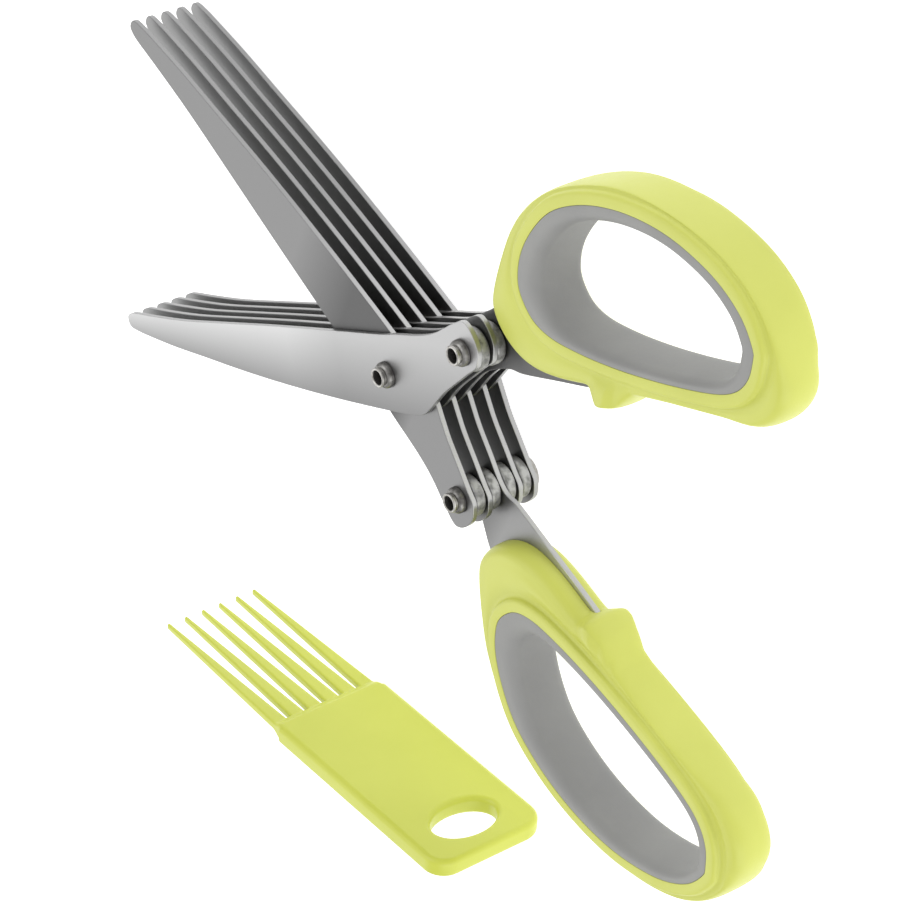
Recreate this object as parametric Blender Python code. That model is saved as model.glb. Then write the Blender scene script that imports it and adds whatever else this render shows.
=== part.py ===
"""Herb scissors: two stacks of five blades on a hollow pivot rivet, two moulded
finger loops with soft liners, and a cleaning comb that stands beside them.

Units are metres. The pivot axis is Z, the jaws open towards +Y and the table is
the plane z = 0. Half a has its handle on the +X side and half b on the -X side.
Each half is drawn in its own frame: x towards the other half, y towards the tips.
"""

from math import cos, hypot, pi, radians, sin

import bmesh
import bpy
from mathutils import Vector
from mathutils.geometry import tessellate_polygon

MM = 0.001

# Jaws
JAW_HALF_ANGLE = radians(21.13)
BLADES_PER_HALF = 5

# Blades
BLADE_THICKNESS = 1.0 * MM
BLADE_REACH = 88.5 * MM
BLADE_EDGE_SIDE = 7.3 * MM
BLADE_SPINE_SIDE = 6.9 * MM
RUNNING_GAP = 0.1 * MM
REAR_RIVET_ASIDE = 6.95 * MM
REAR_RIVET_BACK = 24.25 * MM
# Across as shares of the edge side, along as shares of the reach, pivot to tip
EDGE_SIDE_SHARES = [
    (1.0, 0.0), (0.91, 0.11), (0.81, 0.23), (0.66, 0.40), (0.49, 0.57), (0.31, 0.755),
    (0.25, 0.88), (0.235, 0.96), (0.20, 0.985), (0.10, 1.0),
]
# Across as shares of the spine side, along as shares of the reach, tip to pivot
SPINE_SIDE_SHARES = [
    (0.11, 1.0), (0.22, 0.99), (0.29, 0.965), (0.35, 0.935), (0.52, 0.82), (0.65, 0.69),
    (0.78, 0.565), (0.88, 0.44), (0.95, 0.31), (0.99, 0.18), (1.0, 0.04), (0.985, -0.05),
]
# Shares of the rear rivet's place, down the spine side of the tail
TAIL_SPINE_SHARES = [(-0.91, 0.36), (-0.73, 0.46), (-0.42, 0.585), (-0.17, 0.69), (0.15, 0.86)]
# Shares of the rear rivet's place, round the end of a plain tail
TAIL_END_SHARES = [
    (0.46, 1.027), (0.63, 1.126), (0.81, 1.163), (1.10, 1.188), (1.44, 1.163), (1.70, 1.113), (1.80, 1.047),
]
# Shares of the rear rivet's place, up the edge side of the tail
TAIL_EDGE_SHARES = [(1.67, 0.92), (1.37, 0.70), (1.22, 0.49), (1.13, 0.20)]

# Tangs that carry the handles, one on the middle blade of each half
TANG_WIDTH = 14.6 * MM
TANG_REACH = 61.5 * MM
TANG_PROUD = 1.0 * MM
TANG_BLADE = 3
# Across as shares of the width, along as shares of the reach, down the inner side and back
TANG_SHARES = [
    (0.03, 0.44), (0.0, 0.51), (0.0, 0.66), (0.0, 0.82), (0.03, 0.96), (0.11, 1.0), (0.22, 1.0),
    (0.29, 0.975), (0.32, 0.89), (0.39, 0.80), (0.52, 0.71), (0.77, 0.62), (1.0, 0.54),
    (0.98, 0.49), (0.78, 0.43),
]
SLOT_CLEARANCE = 0.3 * MM
SLOT_STOP_SHARE = 0.33
CUT_OVERRUN = 6.0 * MM

# Rivets: a flat head below, a hollow flared end above
RIVET_RADIUS = 1.75 * MM
RIVET_CLEARANCE = 0.08 * MM
RIVET_BORE = 1.4 * MM
RIVET_BORE_DEPTH = 6.0 * MM
RIVET_HEAD_THICKNESS = 0.8 * MM
PIVOT_HEAD_RADIUS = 5.0 * MM
REAR_HEAD_RADIUS = 3.3 * MM
RIVET_STAND = 2.2 * MM
RIVET_COLLAR_RADIUS = 2.65 * MM
RIVET_COLLAR_HEIGHT = 1.2 * MM
RIVET_COLLAR_EDGE = 0.3 * MM
RIVET_FLARE_RADIUS = 1.98 * MM
RIVET_FLARE_HEIGHT = 0.6 * MM
RIVET_FLARE_ROUND = 0.22 * MM
RIVET_NECK_RADIUS = 1.68 * MM

# Spacers
PIVOT_SPACER_THICKNESS = 1.06 * MM
PIVOT_SPACER_RADIUS = 4.2 * MM
REAR_SPACER_RADIUS = 3.9 * MM

# Handles
SHELL_THICKNESS = 8.4 * MM
RIM_HEIGHT = 1.3 * MM
RIM_WIDTH = 2.3 * MM
RIM_ROUND = 0.8 * MM
RIM_FOOT = 0.12 * MM
SIDE_DEPTH = 2.3 * MM
BUMP_ROUND = 1.0 * MM
LINER_ROUND_DEPTH = 2.2 * MM
LINER_ROUND_SHARE = 0.6
LINER_EDGE = 0.35 * MM
LINER_GAP = 0.25 * MM
# Unit outline of a finger loop and of its liner's hole: across from the inner side, along from the front
LOOP_SHARES = [
    (0.41, 0.0), (0.255, 0.037), (0.16, 0.11), (0.10, 0.22), (0.058, 0.34), (0.026, 0.48),
    (0.004, 0.65), (0.003, 0.81), (0.037, 0.90), (0.12, 0.96), (0.24, 0.994), (0.31, 1.0),
    (0.48, 0.973), (0.655, 0.902), (0.80, 0.80), (0.905, 0.69), (0.974, 0.56), (1.0, 0.43),
    (0.984, 0.313), (0.93, 0.21), (0.82, 0.12), (0.68, 0.047), (0.54, 0.008),
]
# Unit outline of a shell at its widest: the front, the outer side, the back and the inner side
SHELL_SHARES = [
    (0.33, 0.0), (0.44, 0.018), (0.618, 0.075), (0.772, 0.14), (0.888, 0.235), (0.965, 0.345),
    (1.0, 0.49), (0.98, 0.60), (0.91, 0.71), (0.80, 0.823), (0.665, 0.908), (0.517, 0.962),
    (0.363, 0.991), (0.232, 1.0), (0.13, 0.993), (0.05, 0.968), (-0.012, 0.925), (-0.040, 0.865),
    (-0.022, 0.75), (0.0, 0.61),
]
# The bump stop, across as shares of its height, along as shares of the shell's length
BUMP_SHARES = [
    (0.05, 0.492), (0.30, 0.459), (0.68, 0.431), (0.97, 0.404), (1.0, 0.375), (0.95, 0.350), (0.55, 0.333),
    (0.12, 0.318),
]
# The straight inner side in front of the bump and the turn into the front
NOSE_SHARES = [(0.0, 0.30), (0.0, 0.25), (0.008, 0.18), (0.04, 0.11), (0.11, 0.055), (0.215, 0.015)]

# Finger loop of half a: its inner side from the jaw's middle line, and its front behind the pivot
LOOP_INNER_A = 7.1 * MM
LOOP_FRONT_A = 40.8 * MM
LOOP_WIDTH_A = 27.7 * MM
LOOP_LENGTH_A = 56.4 * MM
SHELL_INNER_WALL_A = 4.3 * MM
SHELL_OUTER_WALL_A = 3.4 * MM
SHELL_FRONT_WALL_A = 11.9 * MM
SHELL_BACK_WALL_A = 4.8 * MM
LINER_INNER_WALL_A = 1.3 * MM
LINER_OUTER_WALL_A = 2.65 * MM
LINER_FRONT_WALL_A = 4.2 * MM
LINER_BACK_WALL_A = 3.6 * MM
BUMP_HEIGHT_A = 2.9 * MM

# Finger loop of half b, in the same way
LOOP_INNER_B = 8.0 * MM
LOOP_FRONT_B = 42.2 * MM
LOOP_WIDTH_B = 30.1 * MM
LOOP_LENGTH_B = 58.4 * MM
SHELL_INNER_WALL_B = 3.2 * MM
SHELL_OUTER_WALL_B = 4.2 * MM
SHELL_FRONT_WALL_B = 11.2 * MM
SHELL_BACK_WALL_B = 5.2 * MM
LINER_INNER_WALL_B = 2.25 * MM
LINER_OUTER_WALL_B = 2.35 * MM
LINER_FRONT_WALL_B = 5.15 * MM
LINER_BACK_WALL_B = 2.1 * MM
BUMP_HEIGHT_B = 2.7 * MM

# Cleaning comb, standing on its long edge
COMB_LENGTH = 91.8 * MM
COMB_WIDTH = 25.3 * MM
COMB_THICKNESS = 4.0 * MM
COMB_TINES = 6
COMB_TINE_LENGTH = 38.5 * MM
COMB_TINE_PITCH = 4.1 * MM
COMB_TINE_ROOT = 3.1 * MM
COMB_TINE_TIP = 0.7 * MM
COMB_ROOT_THICKNESS = 1.7 * MM
COMB_TIP_THICKNESS = 1.3 * MM
COMB_SHOULDER = 1.9 * MM
COMB_CORNER = 4.5 * MM
COMB_EDGE_ROUND = 0.8 * MM
COMB_TINE_ROUND = 0.25 * MM
COMB_HOLE_LENGTH = 13.8 * MM
COMB_HOLE_WIDTH = 9.4 * MM
COMB_HOLE_BACK = 8.9 * MM
COMB_TIPS_X = -87.1 * MM
COMB_TIPS_Y = 59.0 * MM
COMB_YAW = radians(1.2)

# Smoothness
OUTLINE_STEPS = 2
ROUND_SEGMENTS = 20
SPACER_SEGMENTS = 16
SIDE_STEPS = 3
LINER_STEPS = 3
CORNER_STEPS = 4
DOME_STEPS = 3

# Sizes that follow
BLADE_PITCH = 2 * BLADE_THICKNESS + PIVOT_SPACER_THICKNESS + 3 * RUNNING_GAP
REAR_SPACER_THICKNESS = BLADE_PITCH - BLADE_THICKNESS - 2 * RUNNING_GAP
HOLE_RADIUS = RIVET_RADIUS + RIVET_CLEARANCE
STACK_FLOOR = RIVET_HEAD_THICKNESS + RUNNING_GAP
SCISSOR_STEP = BLADE_THICKNESS + RUNNING_GAP
STACK_TOP = STACK_FLOOR + (BLADES_PER_HALF - 1) * BLADE_PITCH + SCISSOR_STEP + BLADE_THICKNESS
HANDLE_MIDDLE = (STACK_FLOOR + STACK_TOP) / 2
REAR_RIVET = (REAR_RIVET_ASIDE, -REAR_RIVET_BACK)
PIVOT = (0.0, 0.0)


class Box:
    """A rectangle in a half's frame: its inner side, front, width and length."""

    def __init__(self, inner, front, width, length):
        self.inner = inner
        self.front = front
        self.width = width
        self.length = length

    def grown(self, inner, outer, front, back):
        """The rectangle with each side moved out by its own wall."""
        return Box(self.inner - inner, self.front - front, self.width + inner + outer,
                   self.length + front + back)

    def spread(self, shares):
        """Points given as shares, across from the inner side and back from the front."""
        return [(self.inner + u * self.width, -self.front - v * self.length) for u, v in shares]


class Half:
    """One half of the scissors: its side, its angle at rest and the sizes of its handle."""

    def __init__(self, letter, side, turn, loop, shell_walls, liner_walls, bump_height):
        self.letter = letter
        self.side = side
        self.turn = turn
        self.loop = loop
        self.shell = loop.grown(*shell_walls)
        self.hole = loop.grown(*(-wall for wall in liner_walls))
        self.bump_height = bump_height


HALF_A = Half(
    "a", 1, JAW_HALF_ANGLE,
    Box(LOOP_INNER_A, LOOP_FRONT_A, LOOP_WIDTH_A, LOOP_LENGTH_A),
    (SHELL_INNER_WALL_A, SHELL_OUTER_WALL_A, SHELL_FRONT_WALL_A, SHELL_BACK_WALL_A),
    (LINER_INNER_WALL_A, LINER_OUTER_WALL_A, LINER_FRONT_WALL_A, LINER_BACK_WALL_A),
    BUMP_HEIGHT_A,
)
HALF_B = Half(
    "b", -1, -JAW_HALF_ANGLE,
    Box(LOOP_INNER_B, LOOP_FRONT_B, LOOP_WIDTH_B, LOOP_LENGTH_B),
    (SHELL_INNER_WALL_B, SHELL_OUTER_WALL_B, SHELL_FRONT_WALL_B, SHELL_BACK_WALL_B),
    (LINER_INNER_WALL_B, LINER_OUTER_WALL_B, LINER_FRONT_WALL_B, LINER_BACK_WALL_B),
    BUMP_HEIGHT_B,
)


def clear_scene():
    for thing in list(bpy.data.objects):
        bpy.data.objects.remove(thing, do_unlink=True)


def make_material(name, colour, roughness, metallic):
    material = bpy.data.materials.new(name)
    material.use_nodes = True
    shader = material.node_tree.nodes["Principled BSDF"]
    shader.inputs["Base Color"].default_value = (*colour, 1.0)
    shader.inputs["Roughness"].default_value = roughness
    shader.inputs["Metallic"].default_value = metallic
    return material


def add_frame(name, location=(0.0, 0.0, 0.0), turn=0.0):
    """An empty that carries the pieces of one body."""
    frame = bpy.data.objects.new(name, None)
    frame.location = location
    frame.rotation_euler = (0.0, 0.0, turn)
    bpy.context.scene.collection.objects.link(frame)
    return frame


def add_piece(name, verts, faces, parent, material=None, side=1, smooth_angle=35):
    """A mesh object. A side of -1 mirrors it across the jaws' middle plane."""
    mesh = bpy.data.meshes.new(name)
    if side < 0:
        verts = [(-x, y, z) for x, y, z in verts]
        faces = [tuple(reversed(face)) for face in faces]
    mesh.from_pydata(verts, [], faces)
    mesh.update()
    mesh.shade_smooth()
    mesh.set_sharp_from_angle(angle=radians(smooth_angle))
    piece = bpy.data.objects.new(name, mesh)
    bpy.context.scene.collection.objects.link(piece)
    piece.parent = parent
    if material:
        mesh.materials.append(material)
    return piece


def smooth_loop(points, steps=OUTLINE_STEPS):
    """A closed curve through the points, with a few points to each stretch."""
    count = len(points)
    curve = []
    for index in range(count):
        before, start, end, after = (Vector(points[(index + k) % count]) for k in (-1, 0, 1, 2))
        for step in range(steps):
            t = step / steps
            curve.append(tuple(
                start
                + (end - before) * (t / 2)
                + (before * 2 - start * 5 + end * 4 - after) * (t * t / 2)
                + (start * 3 - before - end * 3 + after) * (t ** 3 / 2)
            ))
    return curve


def circle(centre, radius, segments):
    return [
        (centre[0] + radius * cos(2 * pi * k / segments), centre[1] + radius * sin(2 * pi * k / segments))
        for k in range(segments)
    ]


def turned_left(outline):
    """The outline with its points running anticlockwise."""
    area = sum(a[0] * b[1] - b[0] * a[1] for a, b in zip(outline, outline[1:] + outline[:1]))
    return outline if area > 0 else outline[::-1]


def grown(outline, distance):
    """The outline moved outwards by a distance."""
    outline = turned_left(outline)
    moved = []
    for before, point, after in zip(outline[-1:] + outline[:-1], outline, outline[1:] + outline[:1]):
        along = (Vector(after) - Vector(before)).normalized()
        moved.append((point[0] + along.y * distance, point[1] - along.x * distance))
    return moved


def prism(outline, holes, low, high):
    """A flat plate with holes, from the height low to the height high."""
    loops = [turned_left(outline)] + [turned_left(hole)[::-1] for hole in holes]
    flat = [point for loop in loops for point in loop]
    count = len(flat)
    verts = [(x, y, low) for x, y in flat] + [(x, y, high) for x, y in flat]
    caps = tessellate_polygon([[Vector((x, y, 0.0)) for x, y in loop] for loop in loops])
    faces = []
    for triangle in caps:
        a, b, c = (Vector(flat[index]) for index in triangle)
        left = (b - a).cross(c - a) > 0
        up = tuple(triangle) if left else tuple(reversed(triangle))
        faces.append(tuple(index + count for index in up))
        faces.append(tuple(reversed(up)))
    start = 0
    for loop in loops:
        size = len(loop)
        for index in range(size):
            a = start + index
            b = start + (index + 1) % size
            faces.append((a, b, b + count, a + count))
        start += size
    return verts, faces


def turned(profile, centre, segments=ROUND_SEGMENTS):
    """A round solid from (radius, height) points that run up from the axis and back to it."""
    verts = []
    rings = []
    for radius, height in profile:
        if radius == 0:
            rings.append([len(verts)])
            verts.append((centre[0], centre[1], height))
        else:
            rings.append(list(range(len(verts), len(verts) + segments)))
            verts += [(x, y, height) for x, y in circle(centre, radius, segments)]
    faces = []
    for low, high in zip(rings, rings[1:]):
        for k in range(segments):
            n = (k + 1) % segments
            if len(low) == 1:
                faces.append((low[0], high[n], high[k]))
            elif len(high) == 1:
                faces.append((low[k], low[n], high[0]))
            else:
                faces.append((low[k], low[n], high[n], high[k]))
    return verts, faces


def ring_solid(rings):
    """A closed ring from cross-sections that run round it, each a list of points."""
    count = len(rings)
    size = len(rings[0])
    verts = [point for ring in rings for point in ring]
    faces = []
    for k in range(count):
        n = (k + 1) % count
        for index in range(size):
            m = (index + 1) % size
            faces.append((k * size + index, n * size + index, n * size + m, k * size + m))
    return verts, faces


def reach(outline, centre, direction):
    """How far the outline lies from the centre in a direction."""
    best = None
    for start, end in zip(outline, outline[1:] + outline[:1]):
        sx, sy = start[0] - centre[0], start[1] - centre[1]
        ex, ey = end[0] - start[0], end[1] - start[1]
        cross = direction[0] * ey - direction[1] * ex
        if cross == 0:
            continue
        share = (sx * direction[1] - sy * direction[0]) / cross
        distance = (sx * ey - sy * ex) / cross
        if 0 <= share <= 1 and distance > 0:
            best = distance if best is None else min(best, distance)
    return best


def blade_floor(half, number):
    """The height of a blade's lower face. Blade 1 is the top one."""
    step = SCISSOR_STEP if half is HALF_A else 0
    return STACK_FLOOR + (BLADES_PER_HALF - number) * BLADE_PITCH + step


def blade_outline(half, with_tang):
    points = [(x * BLADE_EDGE_SIDE, y * BLADE_REACH) for x, y in EDGE_SIDE_SHARES]
    points += [(-x * BLADE_SPINE_SIDE, y * BLADE_REACH) for x, y in SPINE_SIDE_SHARES]
    return smooth_loop(points + blade_tail(half, with_tang))


def blade_tail(half, with_tang):
    """The outline behind the pivot, from the spine round the end to the edge side."""
    end = tang_points(half) if with_tang else rear_places(TAIL_END_SHARES)
    return rear_places(TAIL_SPINE_SHARES) + end + rear_places(TAIL_EDGE_SHARES)


def rear_places(shares):
    return [(x * REAR_RIVET_ASIDE, -y * REAR_RIVET_BACK) for x, y in shares]


def tang_points(half):
    inner = half.shell.inner - TANG_PROUD
    return [(inner + x * TANG_WIDTH, -y * TANG_REACH) for x, y in TANG_SHARES]


def make_blade(half, number, frame, material):
    outline = blade_outline(half, number == TANG_BLADE)
    holes = [circle(PIVOT, HOLE_RADIUS, ROUND_SEGMENTS), circle(REAR_RIVET, HOLE_RADIUS, ROUND_SEGMENTS)]
    low = blade_floor(half, number)
    verts, faces = prism(outline, holes, low, low + BLADE_THICKNESS)
    add_piece(f"blade_{half.letter}{number}", verts, faces, frame, material, half.side)


def make_rivet(name, centre, head_top, head_radius, blade_top, frame, material, side=1):
    """A rivet with a flat head on the table and a hollow flared end above the top blade."""
    collar_low = blade_top + RUNNING_GAP
    collar_high = collar_low + RIVET_COLLAR_HEIGHT
    top = blade_top + RIVET_STAND
    flare_low = top - RIVET_FLARE_HEIGHT
    dome_run = RIVET_COLLAR_RADIUS - RIVET_NECK_RADIUS
    dome_rise = RIVET_COLLAR_HEIGHT - RIVET_COLLAR_EDGE
    dome_turns = [pi / 2 * k / DOME_STEPS for k in range(DOME_STEPS + 1)]
    dome = [
        (RIVET_NECK_RADIUS + dome_run * cos(turn), collar_high - dome_rise * (1 - sin(turn)))
        for turn in dome_turns
    ]
    profile = [
        (0, 0), (head_radius, 0), (head_radius, head_top), (RIVET_RADIUS, head_top),
        (RIVET_RADIUS, collar_low), (RIVET_COLLAR_RADIUS, collar_low), *dome,
        (RIVET_NECK_RADIUS, flare_low), (RIVET_FLARE_RADIUS, flare_low + RIVET_FLARE_ROUND),
        (RIVET_FLARE_RADIUS, top - RIVET_FLARE_ROUND), (RIVET_FLARE_RADIUS - RIVET_FLARE_ROUND, top),
        (RIVET_BORE, top), (RIVET_BORE, top - RIVET_BORE_DEPTH), (0, top - RIVET_BORE_DEPTH),
    ]
    verts, faces = turned(profile, centre)
    add_piece(name, verts, faces, frame, material, side)


def make_spacer(name, centre, radius, low, thickness, frame, material, side=1):
    inner = HOLE_RADIUS
    high = low + thickness
    rings = []
    for k in range(SPACER_SEGMENTS):
        c, s = cos(2 * pi * k / SPACER_SEGMENTS), sin(2 * pi * k / SPACER_SEGMENTS)
        section = [(inner, low), (radius, low), (radius, high), (inner, high)]
        rings.append([(centre[0] + r * c, centre[1] + r * s, z) for r, z in section])
    verts, faces = ring_solid(rings)
    add_piece(name, verts, faces, frame, material, side)


def loop_outline(box):
    """The outline of a finger loop, or of the hole in its liner."""
    return turned_left(smooth_loop(box.spread(LOOP_SHARES)))


def shell_outline(half):
    bump = [(-u * half.bump_height / half.shell.width, v) for u, v in BUMP_SHARES]
    return turned_left(smooth_loop(half.shell.spread(SHELL_SHARES + bump + NOSE_SHARES)))


def loop_centre(half):
    return (half.loop.inner + half.loop.width / 2, -half.loop.front - half.loop.length / 2)


def directions(half):
    """Unit directions from the finger loop's centre to the points of the shell's outline."""
    centre = loop_centre(half)
    rays = []
    for x, y in shell_outline(half):
        dx, dy = x - centre[0], y - centre[1]
        length = hypot(dx, dy)
        rays.append((dx / length, dy / length))
    return rays


def section_ring(centre, ray, section):
    return [(centre[0] + r * ray[0], centre[1] + r * ray[1], HANDLE_MIDDLE + z) for r, z in section]


def there_and_back(half_section):
    """A section that is alike above and below its middle plane, from its upper points."""
    lower = [(r, -z) for r, z in reversed(half_section) if z > 0]
    return lower + half_section


def shell_section(loop_reach, rim_reach, widest, narrowest):
    """Upper half of the shell's section, from the widest point in to the seat of the liner."""
    body = SHELL_THICKNESS / 2
    rim = body + RIM_HEIGHT
    foot = max(narrowest, rim_reach + RIM_FOOT)
    side = [
        (foot + (widest - foot) * cos(pi / 2 * k / SIDE_STEPS), body * sin(pi / 2 * k / SIDE_STEPS))
        for k in range(SIDE_STEPS + 1)
    ]
    crest = [(rim_reach, body + RIM_FOOT), (rim_reach - RIM_ROUND / 3, rim - RIM_ROUND / 3)]
    crest += [(rim_reach - RIM_ROUND, rim), (loop_reach + LINER_GAP, rim)]
    return side + crest


def make_shell(half, frame, material):
    centre = loop_centre(half)
    outline = shell_outline(half)
    inset = grown(outline, -SIDE_DEPTH)
    bump_inset = grown(outline, -BUMP_ROUND)
    loop = loop_outline(half.loop)
    rim = grown(loop, LINER_GAP + RIM_WIDTH)
    rings = []
    for point, ray in zip(outline, directions(half)):
        widest = hypot(point[0] - centre[0], point[1] - centre[1])
        bump_share = min(1.0, max(0.0, half.shell.inner - point[0]) / half.bump_height)
        narrowest = reach(inset, centre, ray) * (1 - bump_share)
        narrowest += reach(bump_inset, centre, ray) * bump_share
        section = shell_section(reach(loop, centre, ray), reach(rim, centre, ray), widest, narrowest)
        rings.append(section_ring(centre, ray, there_and_back(section)))
    verts, faces = ring_solid(rings)
    shell = add_piece(f"handle_shell_{half.letter}", verts, faces, frame, material, half.side)
    cut = shell.modifiers.new("tang_slot", "BOOLEAN")
    cut.operation = "DIFFERENCE"
    cut.solver = "EXACT"
    cut.object = make_slot_cutter(half, frame)


def make_slot_cutter(half, frame):
    """The slot that the tang lies in: open at the front and on the inner side up to the bump."""
    stop = -half.shell.front - SLOT_STOP_SHARE * half.shell.length
    mouth = CUT_OVERRUN - half.shell.front
    inner = half.shell.inner - TANG_PROUD - SLOT_CLEARANCE
    tang = grown(smooth_loop(blade_tail(half, True)), SLOT_CLEARANCE)
    pocket = [p for p in tang if p[1] < stop or (p[1] < mouth and p[0] > half.shell.inner)]
    outline = [(inner, stop)] + pocket + [(pocket[-1][0], mouth)]
    outline += [(inner - CUT_OVERRUN, mouth), (inner - CUT_OVERRUN, stop)]
    low = blade_floor(half, TANG_BLADE) - SLOT_CLEARANCE
    high = low + BLADE_THICKNESS + 2 * SLOT_CLEARANCE
    verts, faces = prism(outline, [], low, high)
    cutter = add_piece(f"slot_cutter_{half.letter}", verts, faces, frame, side=half.side)
    cutter.hide_render = True
    cutter.display_type = "WIRE"
    return cutter


def make_liner(half, frame, material):
    """The soft ring that lines a finger loop, level with the rim of its shell."""
    centre = loop_centre(half)
    outer = loop_outline(half.loop)
    inner = loop_outline(half.hole)
    top = SHELL_THICKNESS / 2 + RIM_HEIGHT
    turns = [pi / 2 * k / LINER_STEPS for k in range(LINER_STEPS + 1)]
    rings = []
    for ray in directions(half):
        out = reach(outer, centre, ray)
        hole = reach(inner, centre, ray)
        lip = LINER_ROUND_SHARE * (out - hole)
        section = [(out, top - LINER_EDGE), (out - LINER_EDGE, top)]
        section += [
            (hole + lip * (1 - sin(turn)), top - LINER_ROUND_DEPTH * (1 - cos(turn))) for turn in turns
        ]
        rings.append(section_ring(centre, ray, there_and_back(section)))
    verts, faces = ring_solid(rings)
    add_piece(f"grip_liner_{half.letter}", verts, faces, frame, material, half.side)


def arc(centre, radius, start, end, steps=CORNER_STEPS):
    return [
        (centre[0] + radius * cos(start + (end - start) * k / steps),
         centre[1] + radius * sin(start + (end - start) * k / steps))
        for k in range(steps + 1)
    ]


def comb_outline():
    """Tines towards x = 0, the plate's end at the comb's length, the width along y."""
    first = (COMB_WIDTH - (COMB_TINES - 1) * COMB_TINE_PITCH) / 2
    margin = first - COMB_TINE_ROOT / 2
    shoulder = COMB_TINE_LENGTH + COMB_SHOULDER
    points = [(shoulder + margin / 2, 0), (shoulder, margin / 2)]
    for tine in range(COMB_TINES):
        middle = first + tine * COMB_TINE_PITCH
        points.append((COMB_TINE_LENGTH, middle - COMB_TINE_ROOT / 2))
        points += arc((COMB_TINE_TIP / 2, middle), COMB_TINE_TIP / 2, -pi / 2, -3 * pi / 2)
        points.append((COMB_TINE_LENGTH, middle + COMB_TINE_ROOT / 2))
    points += [(shoulder, COMB_WIDTH - margin / 2), (shoulder + margin / 2, COMB_WIDTH)]
    end = COMB_LENGTH - COMB_CORNER
    points += arc((end, COMB_WIDTH - COMB_CORNER), COMB_CORNER, pi / 2, 0)
    points += arc((end, COMB_CORNER), COMB_CORNER, 0, -pi / 2)
    return points


def comb_hole():
    """An oval hole across the plate, near its end."""
    middle = (COMB_LENGTH - COMB_HOLE_BACK, COMB_WIDTH / 2)
    return [
        (middle[0] + x * COMB_HOLE_WIDTH / 2, middle[1] + y * COMB_HOLE_LENGTH / 2)
        for x, y in circle((0, 0), 1, ROUND_SEGMENTS)
    ]


def comb_thickness(x):
    """The comb's thickness at a place along it: thin tines, a slope at their roots, the plate."""
    if x < COMB_TINE_LENGTH:
        return COMB_TIP_THICKNESS + (COMB_ROOT_THICKNESS - COMB_TIP_THICKNESS) * x / COMB_TINE_LENGTH
    share = min(1.0, (x - COMB_TINE_LENGTH) / COMB_SHOULDER)
    return COMB_ROOT_THICKNESS + (COMB_THICKNESS - COMB_ROOT_THICKNESS) * share


def thin_tines(piece):
    """Splits the faces at both ends of the slope at the tines' roots, then thins the tines."""
    shape = bmesh.new()
    shape.from_mesh(piece.data)
    for place in (COMB_TINE_LENGTH, COMB_TINE_LENGTH + COMB_SHOULDER):
        everything = shape.verts[:] + shape.edges[:] + shape.faces[:]
        bmesh.ops.bisect_plane(shape, geom=everything, plane_co=(place, 0, 0), plane_no=(1, 0, 0))
    middle = COMB_THICKNESS / 2
    for vert in shape.verts:
        vert.co.z = middle + (vert.co.z - middle) * comb_thickness(vert.co.x) / COMB_THICKNESS
    shape.to_mesh(piece.data)
    shape.free()


def round_comb_edges(piece):
    """Rounds the edges round both faces of the comb, less on the tines, and no upright edges."""
    shape = bmesh.new()
    shape.from_mesh(piece.data)
    weight = shape.edges.layers.float.new("bevel_weight_edge")
    for edge in shape.edges:
        flat = [abs(face.normal.z) > cos(pi / 4) for face in edge.link_faces]
        middle = (edge.verts[0].co.x + edge.verts[1].co.x) / 2
        on_tines = middle < COMB_TINE_LENGTH + COMB_SHOULDER / 2
        edge[weight] = (COMB_TINE_ROUND / COMB_EDGE_ROUND if on_tines else 1.0) if flat[0] != flat[1] else 0.0
    shape.to_mesh(piece.data)
    shape.free()
    bevel = piece.modifiers.new("edge_round", "BEVEL")
    bevel.limit_method = "WEIGHT"
    bevel.width = COMB_EDGE_ROUND
    bevel.segments = 2


def make_comb(material):
    frame = add_frame("comb_frame", (COMB_TIPS_X, COMB_TIPS_Y, 0.0), COMB_YAW - pi / 2)
    verts, faces = prism(comb_outline(), [comb_hole()], 0.0, COMB_THICKNESS)
    # The plate is drawn lying down, and its rotation stands it on its long edge.
    comb = add_piece("cleaning_comb", verts, faces, frame, material)
    thin_tines(comb)
    round_comb_edges(comb)
    comb.rotation_euler = (pi / 2, 0.0, 0.0)


def make_half(half, frame, steel, rivet_steel, plastic, grip):
    for number in range(1, BLADES_PER_HALF + 1):
        make_blade(half, number, frame, steel)
    for number in range(1, BLADES_PER_HALF):
        low = blade_floor(half, number + 1) + BLADE_THICKNESS + RUNNING_GAP
        make_spacer(f"rear_spacer_{half.letter}{number}", REAR_RIVET, REAR_SPACER_RADIUS, low,
                    REAR_SPACER_THICKNESS, frame, rivet_steel, half.side)
    head_top = blade_floor(half, BLADES_PER_HALF) - RUNNING_GAP
    blade_top = blade_floor(half, 1) + BLADE_THICKNESS
    make_rivet(f"rear_rivet_{half.letter}", REAR_RIVET, head_top, REAR_HEAD_RADIUS, blade_top, frame,
               rivet_steel, half.side)
    make_shell(half, frame, plastic)
    make_liner(half, frame, grip)


def make_pivot(frame, rivet_steel):
    make_rivet("pivot_rivet", PIVOT, RIVET_HEAD_THICKNESS, PIVOT_HEAD_RADIUS, STACK_TOP, frame,
               rivet_steel)
    for number in range(1, BLADES_PER_HALF):
        low = blade_floor(HALF_A, number + 1) + BLADE_THICKNESS + RUNNING_GAP
        make_spacer(f"pivot_spacer_{number}", PIVOT, PIVOT_SPACER_RADIUS, low, PIVOT_SPACER_THICKNESS,
                    frame, rivet_steel)


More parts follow.
